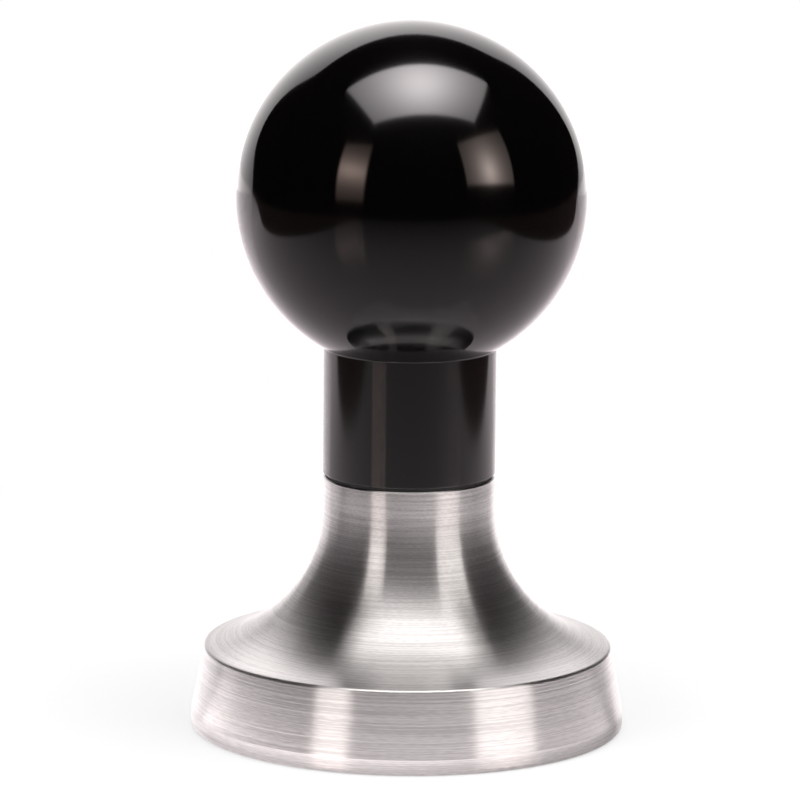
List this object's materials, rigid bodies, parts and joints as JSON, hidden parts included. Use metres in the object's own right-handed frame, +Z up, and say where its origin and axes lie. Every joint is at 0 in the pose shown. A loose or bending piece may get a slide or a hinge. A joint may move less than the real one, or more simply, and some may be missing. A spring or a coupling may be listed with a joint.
{
  "type": "espresso tamper",
  "caption": "Espresso tamper: flat round steel base with a tapered rim and a hollow-curved neck, and a black ball handle on a straight collar that unscrews from it.",
  "frame": {"origin": "centre of the flat tamping face, on the surface that the tamper stands on", "axes": "+Z up along the turning axis, from the tamping face to the ball; X and Y lie in the tamping face"},
  "size_m": [0.058, 0.058, 0.0954],
  "materials": {
    "base_steel": "fine circular turning lines",
    "stud_steel": "machined thread, satin",
    "washer_black": "matt",
    "handle_black": "black, polished ball and finely turned collar"
  },
  "bodies": {
    "base_body": {"base": "base_steel", "stud": "stud_steel"},
    "washer_body": {"washer": "washer_black"},
    "handle_body": {"handle": "handle_black"}
  },
  "joints": [
    {"name": "handle_turn", "type": "hinge", "parent": "base_body", "child": "washer_body", "pos_m": [0, 0, 0.0342], "axis": [0, 0, 1], "range_deg": [0, 3240]},
    {"name": "handle_lift", "type": "slide", "parent": "washer_body", "child": "handle_body", "axis": [0, 0, 1], "range_m": [0, 0.01351]}
  ],
  "couplings": [
    {"joint": "handle_lift", "follows": "handle_turn", "m_per_rad": 0.00023873}
  ]
}
